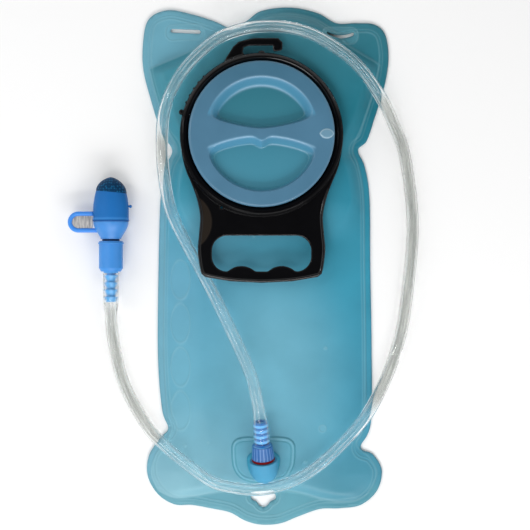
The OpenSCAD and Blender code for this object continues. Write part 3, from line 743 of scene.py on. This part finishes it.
patch_film, tree, shader = new_material("patch_film", Roughness=0.36, Specular_IOR_Level=0.35)
haze = noise(tree, object_place(tree), 90.0, 3.0)
colour = mix_colour(tree, haze, paint(84, 154, 176), paint(108, 174, 194))
rim, height = attribute(tree, "rim"), haze
for offset, width, strength in ((0.6, 0.5, 0.5), (3.2, 0.6, 0.4)):
    mask = soft_line(tree, rim, offset, width)[0]
    colour = tint(tree, colour, mask, strength, 52, 134, 152)
    height = math_node(tree, "SUBTRACT", height, mask)
colour = tint(tree, colour, soft_line(tree, rim, 1.8, 0.6)[0], 0.35, 142, 196, 212)
drive(tree, shader, Base_Color=colour, Roughness=step_node(tree, haze, 0.3, 0.7, 0.3, 0.44),
      Normal=bump(tree, height, 0.5, 0.0005))

PATCH_T, PATCH_Z = 0.5, 2.3
lift = PATCH_Z + film_lift(patch_net) - PATCH_T * (1 - smooth(patch_rim, 0, 1.5))
patch = lay_film("outlet_patch_film", patch_net, patch_faces, lift, patch_film, "outlet_patch", PATCH_T,
                 {"rim": patch_rim})

# %% [markdown]
# ### The flare under the dome
# The dome stands on a low, bullet-shaped flare of the same film, which widens it at
# the sides. It is half an ellipsoid that reaches further towards the foot.

# %% Flare round the dome
FLARE_X, FLARE_Y, FLARE_Z, FLARE_FOOT = -1.4, -141.2, 6.9, 6.5
flare_turn = ring_turn(96)
out = np.concatenate([np.linspace(0, 1, 40), [0.98, 0]])[:, None]
reach_y = np.where(np.sin(flare_turn) > 0, 7.0, 17.6)
flare_z = FLARE_Z + 6.4 * np.sqrt(np.clip(1 - out ** 2, 0, 1)) + 0 * flare_turn
flare_z[-2:] = FLARE_FOOT
flare_points = np.stack([FLARE_X + 12.3 * out * np.cos(flare_turn),
                         FLARE_Y + reach_y * out * np.sin(flare_turn), flare_z], -1).reshape(-1, 3)
flare_film = moulded("flare_film", paint(58, 148, 178), 0.5, clouding=0.14, cloud_size=90.0,
                     Specular_IOR_Level=0.25)[0]
make_piece("outlet_flare", flare_points, grid_faces(len(out), 96), "bag", flare_film)

# %% [markdown]
# ## The cap
# The cap is one piece of milky blue plastic. Two finger hollows leave a bow-tie bar
# between them, and a leaf-shaped mark stands near the right edge. Cut solids would
# give even walls, but on this cap the wall on the far side of each hollow is a wide
# slope and the near one is steep. So the top is a height worked out for every radius
# and angle, and the rim, the skirt and the underside follow as a profile.

# %% Height of the cap's top
CAP_R, CAP_TOP, CAP_EDGE = 52.8, 27.5, 1.8
HOLLOW_EDGE, HOLLOW_DEEP, ROUNDING = 42.0, 6.5, 0.28
LEAF_X, LEAF_R, LEAF_SHIFT, LEAF_RISE = 47.1, 5.7, 2.2, 0.6


def hollows(x, y):
    """Distances inwards from a hollow's arc and from the bar, and how far down it is, 0 to 1.
    The nearer of the two sets the slope, and a soft minimum of both rounds the corners."""
    from_arc, across = HOLLOW_EDGE - np.hypot(x, y), np.abs(x) / HOLLOW_EDGE
    upper_bar = 3.4 + 9.5 * across ** 1.6
    lower_bar = 1.0 + 10.0 * across ** 2.0 + 3.2 * np.exp(-(x / 4.5) ** 2)
    from_bar = np.where(y > 0, y - upper_bar, -y - lower_bar) * 0.96
    arc_wall, bar_wall = np.where(y > 0, 7.6, 2.4), np.where(y > 0, 2.4, 6.2)
    arc_part, bar_part = (np.exp(-ROUNDING * np.clip(d, -20, 60)) for d in (from_arc, from_bar))
    nearest = -np.log(arc_part + bar_part) / ROUNDING
    wall = (arc_wall * arc_part + bar_wall * bar_part) / (arc_part + bar_part)
    return from_arc, from_bar, smooth(nearest / wall)


def leaf(x, y):
    """Distance inwards from the mark's edge: the lens where two circles overlap."""
    return LEAF_R - np.maximum(np.hypot(x - LEAF_X, y - LEAF_SHIFT), np.hypot(x - LEAF_X, y + LEAF_SHIFT))


around = ring_turn(440)
radius = np.linspace(0, 50.8, 152)[:, None]
cap_x, cap_y = radius * np.cos(around), radius * np.sin(around)
from_arc, from_bar, sunk = hollows(cap_x, cap_y)
cap_z = CAP_TOP - HOLLOW_DEEP * sunk + LEAF_RISE * smooth(leaf(cap_x, cap_y), 0, 0.6)
# Painted highlights: bright lines along the edges of the wide slopes, and painted light on the slopes
# themselves, for the finish
far_arc = (cap_y > 0) * smooth(from_bar, 0.5, 4)
far_bar = (cap_y < 0) * smooth(from_arc, 0.5, 4)
bell = lambda d, at, width: np.exp(-((d - at) / width) ** 2)
shine = (far_arc * (0.7 * bell(from_arc, 0.6, 0.7) + bell(from_arc, 7.2, 0.9)) * smooth(cap_y, 16, 38)
         + far_bar * (bell(from_bar, 0.6, 0.8) + 0.6 * (cap_x > 0) * bell(from_bar, 5.8, 0.7))
         * smooth(np.abs(cap_x), 2, 9))
arc_slope = far_arc * smooth(from_arc, 0, 1) * (1 - smooth(from_arc, 6.5, 8))
bar_slope = far_bar * smooth(from_bar, -1, 1) * (1 - smooth(from_bar, 4, 7)) * (1.2 - 0.4 * (cap_x > 0))
slope = np.maximum(arc_slope, bar_slope)

# %% Rim, skirt and underside of the cap, as radius and height
bend = np.radians(np.linspace(78, 0, 8))
profile = np.array([[CAP_R - CAP_EDGE * (1 - np.cos(a)), CAP_TOP - CAP_EDGE * (1 - np.sin(a))] for a in bend]
                   + [[CAP_R, 23], [CAP_R, 20.2], [52.4, 19.75], [50.0, 19.75], [49.6, 20.2], [49.6, 25.3],
                      [42.8, 25.3], [42.6, 20.4], [41.6, 19.5], [20, 19.5], [0, 19.5]])
side_x, side_y = profile[:, :1] * np.cos(around), profile[:, :1] * np.sin(around)
side_z = np.broadcast_to(profile[:, 1:], side_x.shape)
cap_points = np.concatenate([np.stack([cap_x, cap_y, cap_z], -1), np.stack([side_x, side_y, side_z], -1)])
cap_points = cap_points.reshape(-1, 3) + np.array([*neck_centre, 0])
on_bend = np.arange(len(profile))[:, None] < len(bend)
cap_values = {key: np.concatenate([top, side]).ravel() for key, top, side in (
    ("sunk", sunk, 0 * side_x), ("shine", shine, 0 * side_x), ("slope", slope, 0 * side_x),
    ("leaf", leaf(cap_x, cap_y), np.where(on_bend, leaf(side_x, side_y), -9)))}

# %% Cap plastic and the cap itself
cap_plastic, tree, shader, clouded = moulded("cap_plastic", paint(74, 120, 148), 0.34, clouding=0.14,
                                             cloud_size=40.0, Coat_Weight=0.1)
up_bag = split_xyz(tree, object_place(tree))[1]
# Painted shade: the upper hollow's floor is painted darker than the lower one, and the rim is painted darker
# towards the top of the cap
floor_colour = mix_colour(tree, step_node(tree, up_bag, 0.065, 0.13), paint(66, 138, 160),
                          paint(46, 118, 134))
rim_colour = mix_colour(tree, step_node(tree, up_bag, 0.1, 0.15, 0.0, 0.5), clouded, paint(52, 100, 122))
leaf_in = attribute(tree, "leaf")
colour = mix_colour(tree, attribute(tree, "sunk"), rim_colour, floor_colour)
# Painted light on the wide far slopes of the hollows, and painted highlight lines along their edges
colour = tint(tree, colour, attribute(tree, "slope"), 0.7, 80, 146, 180)
colour = tint(tree, colour, attribute(tree, "shine"), 0.42, 160, 196, 222)
colour = tint(tree, colour, step_node(tree, leaf_in, 0.0, 0.5), 0.4, 140, 180, 200)
colour = tint(tree, colour, soft_line(tree, leaf_in, 0.3, 0.4)[0], 0.6, 170, 200, 214)
drive(tree, shader, Base_Color=colour)
cap = make_piece("cap_shell", cap_points, grid_faces(len(radius) + len(profile), len(around)), "cap",
                 cap_plastic, values=cap_values, flat_above=50)
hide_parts("screw_cap")

# %% [markdown]
# ## The dust cover
# The cover and its dark, dotted tip are one egg with a slanted line between them.
# They are thin shells of revolution round the valve's axis. A lathe object would do
# for the cover, but the slanted line needs a height that changes with the angle.

# %% Egg-shaped shells round the valve's axis
VALVE_X, VALVE_Z, COVER_FOOT, TIP_TOP = -112.5, 13.3, 32.5, 64.8
turn = ring_turn(96)


def egg_radius(y):
    """13 mm, drawn in with a power of the height above 38 mm, plus a lip at the foot."""
    drawn_in = 1.85 * np.clip((y - 38) / 15.8, 0, 1.4) ** 2.2
    return 13.0 - drawn_in + 0.4 * np.exp(-((y - 33.3) / 0.55) ** 2)


def round_valve(r, y, angle):
    """Points at a radius and a height y, with the angle measured from +X."""
    return np.stack([VALVE_X + r * np.cos(angle), y + 0 * r, VALVE_Z + r * np.sin(angle)], -1).reshape(-1, 3)


seam = 53.8 - 1.0 * np.cos(turn)
cover_y = COVER_FOOT + (seam - COVER_FOOT) * np.linspace(0, 1, 70)[:, None]
cover_r = egg_radius(cover_y)
cover_points = np.concatenate([round_valve(cover_r, cover_y, turn),
                               round_valve(cover_r[::-1] - 1.1, cover_y[::-1], turn)])
bow = np.linspace(0, np.pi / 2, 40)[:, None]
tip_y = seam + (TIP_TOP - seam) * np.sin(bow)
tip_r = egg_radius(seam) * np.cos(bow) ** 1.35
tip_points = np.concatenate([round_valve(tip_r, tip_y, turn),
                             round_valve(0.9 * tip_r[::-1], seam + 0.9 * (tip_y[::-1] - seam), turn)])

cover_plastic, tree, shader, clouded = moulded("cover_plastic", paint(24, 106, 178), 0.5, clouding=0.1,
                                               Specular_IOR_Level=0.2)
height = split_xyz(tree, object_place(tree))[1]
# Painted highlight just above the lip at the cover's foot, and painted shade just below it
colour = tint(tree, clouded, soft_line(tree, height, 0.0345, 0.0008)[0], 0.5, 70, 150, 226)
colour = tint(tree, colour, soft_line(tree, height, 0.0327, 0.0005)[0], 0.8, 12, 52, 120)
drive(tree, shader, Base_Color=colour)
cover = make_piece("cover_shell", cover_points, grid_faces(2 * len(cover_y), len(turn), wrap_rows=True),
                   "cover", cover_plastic)
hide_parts("dust_cover")

tip_plastic, tree, shader, clouded = moulded("tip_plastic", paint(2, 52, 88), 0.5, Specular_IOR_Level=0.1)
dots = add_node(tree, "ShaderNodeTexVoronoi",
                {"Vector": object_place(tree), "Scale": 520.0, "Randomness": 0.4})
dot = step_node(tree, dots.outputs["Distance"], 0.15, 0.5, 1.0, 0.0)
drive(tree, shader, Base_Color=tint(tree, clouded, dot, 0.7, 24, 112, 164),
      Normal=bump(tree, dot, 0.5, 0.0006))
tip = make_piece("cover_tip_shell", tip_points, grid_faces(2 * len(bow), len(turn), wrap_rows=True),
                 "cover", tip_plastic)
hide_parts("cover_tip")

# %% Nub on the cover's right side
NUB_Y, NUB_R, BALL_AT = 43.5, 1.1, 14.2
nub_x = 12.4 + 2.9 * np.linspace(0, 1, 20)[:, None]
ball = NUB_R * np.sqrt(np.clip(1 - ((nub_x - BALL_AT) / NUB_R) ** 2, 0, 1))
nub_r = np.where(nub_x < 13.4, 0.8, ball)
nub_r[0] = 0
nub_turn = turn[::6]
nub_points = np.stack([VALVE_X + nub_x + 0 * nub_turn, NUB_Y + nub_r * np.cos(nub_turn),
                       VALVE_Z + nub_r * np.sin(nub_turn)], -1).reshape(-1, 3)
nub = make_piece("cover_nub", nub_points, grid_faces(len(nub_x), len(nub_turn)), "cover", cover_plastic)

# %% [markdown]
# ## The strap
# A soft loop joins the cover to the bowl, and a thin grey skin fills it. Neither
# piece is attached to a body: each keeps the place where it is built.


# %% A solid rod along a line
def rod(name, line, radius, body, material, flat=1.0, sides=20):
    """A solid tube with a pole at each end. Its height over the line is multiplied by flat."""
    rings = tube_rings(line, radius, sides)
    rings[:, :, 2] = line[:, None, 2] + flat * (rings[:, :, 2] - line[:, None, 2])
    poles = [np.repeat(line[k][None, None], sides, axis=1) for k in (0, -1)]
    points = np.concatenate([poles[0], rings, poles[1]]).reshape(-1, 3)
    return make_piece(name, points, grid_faces(len(line) + 2, sides), body, material)


# %% Strap and the skin inside it
BEND_X, BEND_Y, STRAP_BEND, STRAP_R, SKIN_HALF = -23.8, 32.1, 6.1, 1.6, 4.7
half_turn = np.linspace(np.pi / 2, 3 * np.pi / 2, 30)
strap_x = np.concatenate([np.linspace(-13.1, -23.4, 14), BEND_X + STRAP_BEND * np.cos(half_turn),
                          np.linspace(-23.4, -8.9, 18)])
strap_y = np.concatenate([np.full(14, BEND_Y + STRAP_BEND), BEND_Y + STRAP_BEND * np.sin(half_turn),
                          np.full(18, BEND_Y - STRAP_BEND)])
strap_line = np.column_stack([strap_x + VALVE_X, strap_y, np.full(len(strap_x), VALVE_Z)])
strap_plastic = moulded("strap_plastic", paint(56, 140, 232), 0.42, clouding=0.1)[0]
strap = rod("strap_loop", strap_line, np.full(len(strap_line), STRAP_R), None, strap_plastic, flat=0.8)

skin_x = np.concatenate([BEND_X - SKIN_HALF * np.cos(np.linspace(0, np.pi / 2, 16)),
                         np.linspace(-23.4, -13.4, 24), [-13.4]])[:, None]
round_end = np.sqrt(np.clip(SKIN_HALF ** 2 - (skin_x - BEND_X) ** 2, 0, None))
skin_half = np.where(skin_x < BEND_X, round_end, SKIN_HALF)
skin_half[0] = skin_half[-1] = 0
skin_turn = ring_turn(24)
skin_points = np.stack([VALVE_X + skin_x + 0 * skin_turn, BEND_Y + skin_half * np.cos(skin_turn),
                        VALVE_Z + 0.35 * (skin_half > 0) * np.sin(skin_turn)], -1).reshape(-1, 3)
skin_plastic, tree, shader = new_material("skin_plastic", Roughness=0.35, Transmission_Weight=0.25)
along_streaks = add_node(tree, "ShaderNodeMapping", {
    "Vector": object_place(tree), "Rotation": (0.0, 0.0, 0.7), "Scale": (900.0, 150.0, 200.0)}).outputs[0]
streaks = noise(tree, along_streaks, 1.0, 4.0)
grey = mix_colour(tree, step_node(tree, streaks, 0.3, 0.75), paint(150, 150, 154), paint(224, 220, 214))
drive(tree, shader, Base_Color=grey, Normal=bump(tree, streaks, 0.4, 0.0004))
strap_skin = make_piece("strap_skin", skin_points, grid_faces(len(skin_x), len(skin_turn)), None,
                        skin_plastic)
for piece in (strap, strap_skin):
    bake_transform(piece)
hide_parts("cover_strap")

# %% [markdown]
# ## Finishes of the hard parts
# The other hard parts keep the shapes of the design. Each gets the moulded skin in
# its own colour: glossy black for the handle, blues for the outlet and the valve, a
# dark red seal ring and a milky neck. The valve's O-ring is painted dark blue as the
# painted shade of its gap, and the collar and the connector get painted light further
# down. Each finish stands under the name of the part it goes on. The handle also
# carries a few small drops, and a large brownish disc shows in the left side of its web.

# %% Give the design's parts their finishes
finishes = {
    "fill_neck": moulded("neck_plastic", paint(120, 168, 186), 0.35),
    "cap_seal": moulded("seal_silicone", paint(225, 230, 232), 0.45, grain=0.1),
    "outlet_port": moulded("port_plastic", paint(72, 152, 190), 0.55, clouding=0.14, cloud_size=90.0,
                           Specular_IOR_Level=0.25),
    "plug_o_ring": moulded("red_rubber", paint(112, 0, 2), 0.5, grain=0.1, Specular_IOR_Level=0.15),
    "hose_connector": moulded("connector_plastic", paint(44, 138, 206), 0.14, Coat_Weight=0.6),
    "lock_collar": moulded("collar_plastic", paint(26, 96, 164), 0.35, edge_radius=0.0003),
    "valve_stem": moulded("stem_plastic", paint(84, 162, 222), 0.25),
    "valve_barrel": moulded("barrel_plastic", paint(58, 140, 218), 0.42, edge_radius=0.0005),
    # Painted shade: the O-ring is painted dark blue, the colour of the shaded gap between bowl and barrel,
    # not its own black
    "valve_o_ring": moulded("black_rubber", paint(22, 60, 110), 0.5),
    "valve_bowl": moulded("bowl_plastic", paint(62, 138, 214), 0.38),
    "mouthpiece": moulded("mouth_silicone", paint(60, 110, 170), 0.45, grain=0.1),
    "handle_frame": moulded("handle_plastic", paint(8, 8, 10), 0.1, clouding=0.3, wear=0.06,
                            edge_radius=0.0016),
}
for node_name, finish in finishes.items():
    nodes[node_name].data.materials.clear()
    nodes[node_name].data.materials.append(finish[0])
print("finished:", len(finishes), "parts of the design")


# %% Brownish disc and drops on the handle
def distance_node(tree, a, b):
    return add_node(tree, "ShaderNodeVectorMath", {0: a, 1: b}, operation="DISTANCE").outputs["Value"]


_, tree, shader, clouded = finishes["handle_frame"]
x, y, _ = split_xyz(tree, object_place(tree))
flat_place = add_node(tree, "ShaderNodeCombineXYZ", {0: x, 1: y}).outputs[0]
from_disc = distance_node(tree, flat_place, (-0.06, 0.032, 0.0))
colour = tint(tree, clouded, step_node(tree, from_disc, 0.0206, 0.0218, 1.0, 0.0), 0.45, 58, 50, 42)
drops = add_node(tree, "ShaderNodeTexVoronoi", {"Vector": flat_place, "Scale": 130.0})
chosen = add_node(tree, "ShaderNodeSeparateColor", {0: drops.outputs["Color"]}).outputs[0]
drop = times(tree, step_node(tree, drops.outputs["Distance"], 0.03, 0.07, 1.0, 0.0),
             step_node(tree, chosen, 0.68, 0.72))
colour = tint(tree, colour, drop, 0.5, 130, 134, 138)
# The lower half of the bead runs into the web and is duller than the rest
from_neck = distance_node(tree, flat_place, (*neck_centre * MM, 0.0))
on_bead = times(tree, step_node(tree, from_neck, 0.0608, 0.0598), step_node(tree, y, 0.125, 0.105))
drive(tree, shader, Base_Color=colour,
      Specular_IOR_Level=math_node(tree, "MULTIPLY_ADD", on_bead, -0.42, 0.5))

# %% [markdown]
# ### The handle's rolled edge
# The web and the grip end in a rolled edge that catches the light. It is a thin tube
# along the outline of the plate's sides and foot, sunk into the plate so that only
# its top stands out. It is thinner at both ends, where it runs into the bead.

# %% Rolled edge of the handle
EDGE_Z, END_R, EDGE_R = 18.5, 0.3, 1.25
half_edge = np.array([[50.6, -33], [46.9, -43], [43.4, -57], [44.0, -71], [45.0, -82], [44.2, -92],
                      [42.6, -99.5], [38.6, -102.0], [21, -105.0], [0, -106.2]])
half_edge = along(half_edge, np.linspace(0, 1, 90))
rolled_line = np.concatenate([half_edge, half_edge[-2::-1] * (-1, 1)]) + neck_centre
rolled_line = np.column_stack([rolled_line, np.full(len(rolled_line), EDGE_Z)])
from_end = np.minimum(np.arange(len(rolled_line)), np.arange(len(rolled_line))[::-1])
edge_plastic = moulded("edge_plastic", paint(8, 8, 10), 0.14, clouding=0.3, wear=0.06)[0]
rod("handle_rolled_edge", rolled_line, END_R + (EDGE_R - END_R) * smooth(from_end, 0, 14), "bag",
    edge_plastic)

# %% Painted highlights on the collar's flutes
# The angle round the outlet's axis, which leans up and to the left as it goes up the bag
MOUTH, LEAN_X, LEAN_Z, FLUTES = (-0.0015, -0.141, 0.0172), 0.07, 0.365, 20.0
_, tree, shader, clouded = finishes["lock_collar"]
x, y, z = split_xyz(tree, object_place(tree))
past_mouth = math_node(tree, "SUBTRACT", y, MOUTH[1])
sideways = math_node(tree, "ADD", x, math_node(tree, "MULTIPLY_ADD", past_mouth, LEAN_X, -MOUTH[0]))
upwards = math_node(tree, "SUBTRACT", z, math_node(tree, "MULTIPLY_ADD", past_mouth, LEAN_Z, MOUTH[2]))
# Painted highlight: a lighter stripe along each flute, on the lower part of the collar
flute_highlight = math_node(tree, "SINE", times(tree, math_node(tree, "ARCTAN2", sideways, upwards), FLUTES))
flute_highlight = times(tree, step_node(tree, flute_highlight, 0.3, 1.0), step_node(tree, y, -0.1315, -0.1325))
drive(tree, shader, Base_Color=tint(tree, clouded, flute_highlight, 0.5, 140, 172, 222))

# %% Painted light and shade on the connector's ribs, seen through the hose
# The distance along the outlet's axis, counted in barbs: each barb gets a painted highlight at its widest
# place and painted shade between barbs
OUTLET_AXIS, FIRST_BARB, BARB_PITCH = (-0.06555, 0.93741, 0.34202), 0.0142, 0.0042
_, tree, shader, _ = finishes["hose_connector"]
past_mouth = add_node(tree, "ShaderNodeVectorMath", {0: object_place(tree), 1: MOUTH}, operation="SUBTRACT")
along_axis = add_node(tree, "ShaderNodeVectorMath", {0: past_mouth.outputs[0], 1: OUTLET_AXIS},
                      operation="DOT_PRODUCT").outputs["Value"]
past_first = math_node(tree, "SUBTRACT", along_axis, FIRST_BARB)
barb = math_node(tree, "FRACT", math_node(tree, "DIVIDE", past_first, BARB_PITCH))
from_crest = math_node(tree, "ABSOLUTE", math_node(tree, "SUBTRACT", barb, 0.45))
crest_highlight = step_node(tree, from_crest, 0.12, 0.3, 1.0, 0.0)
drive(tree, shader, Base_Color=mix_colour(tree, crest_highlight, paint(26, 100, 168), paint(96, 176, 232)))

# %% [markdown]
# ## Floor and light
# The floor is plain and pale. An even sky fills all shadows, but it is dark
# straight above, so that the glossy black plate stays black where it faces the
# camera. A soft box and a thin strip at the foot draw reflected lines on the hose,
# next to its painted highlight lines, and on the handle's edges. A second strip
# stands at the left, and a small soft box, higher up, lights the bead's inner side.

# %% Floor
floor_paint, tree, shader = new_material("floor_paint", Roughness=0.9)
dust = noise(tree, object_place(tree), 6.0, 2.0)
drive(tree, shader, Base_Color=mix_colour(tree, dust, paint(250, 250, 250), paint(252, 252, 252)))
FLOOR_HALF, FLOOR_Z = 3, -0.0003
floor_mesh = bpy.data.meshes.new("floor")
floor_mesh.from_pydata([(x * FLOOR_HALF, y * FLOOR_HALF, FLOOR_Z) for x, y in
                        ((-1, -1), (1, -1), (1, 1), (-1, 1))], [], [(0, 1, 2, 3)])
floor_mesh.materials.append(floor_paint)
floor = bpy.data.objects.new("floor", floor_mesh)
bpy.context.scene.collection.objects.link(floor)


# %% Sky and area lights
def area_light(name, at, aim, size, power):
    """An area light at a place, turned towards another, size = (width, height) in metres."""
    light = bpy.data.lights.new(name, "AREA")
    light.shape, light.energy = "RECTANGLE", power
    light.size, light.size_y = size
    lamp = bpy.data.objects.new(name, light)
    lamp.location = at
    lamp.rotation_euler = (Vector(aim) - Vector(at)).to_track_quat("-Z", "Y").to_euler()
    bpy.context.scene.collection.objects.link(lamp)


sky = bpy.data.worlds.new("sky")
sky.use_nodes = True
sky_tree = sky.node_tree
background = sky_tree.nodes["Background"]
up = split_xyz(sky_tree, add_node(sky_tree, "ShaderNodeTexCoord").outputs["Generated"])[2]
background.inputs["Color"].default_value = (1.0, 1.0, 1.0, 1.0)
SKY, ZENITH = 0.72, 0.03
drive(sky_tree, background, Strength=step_node(sky_tree, up, 0.82, 0.96, SKY, ZENITH))
bpy.context.scene.world = sky
area_light("soft_foot", (0.1, -1.05, 0.8), (0, 0, 0), (1.3, 0.45), 6.0)
area_light("strip_foot", (0.1, -1.0, 0.95), (0, 0, 0), (1.3, 0.035), 2.6)
area_light("strip_left", (-0.9, 0.3, 1.0), (0, 0, 0), (0.04, 0.9), 2.4)
area_light("strip_high", (-0.31, -0.44, 1.2), (0, 0.1, 0), (0.4, 0.36), 2.8)
print("lights are set")
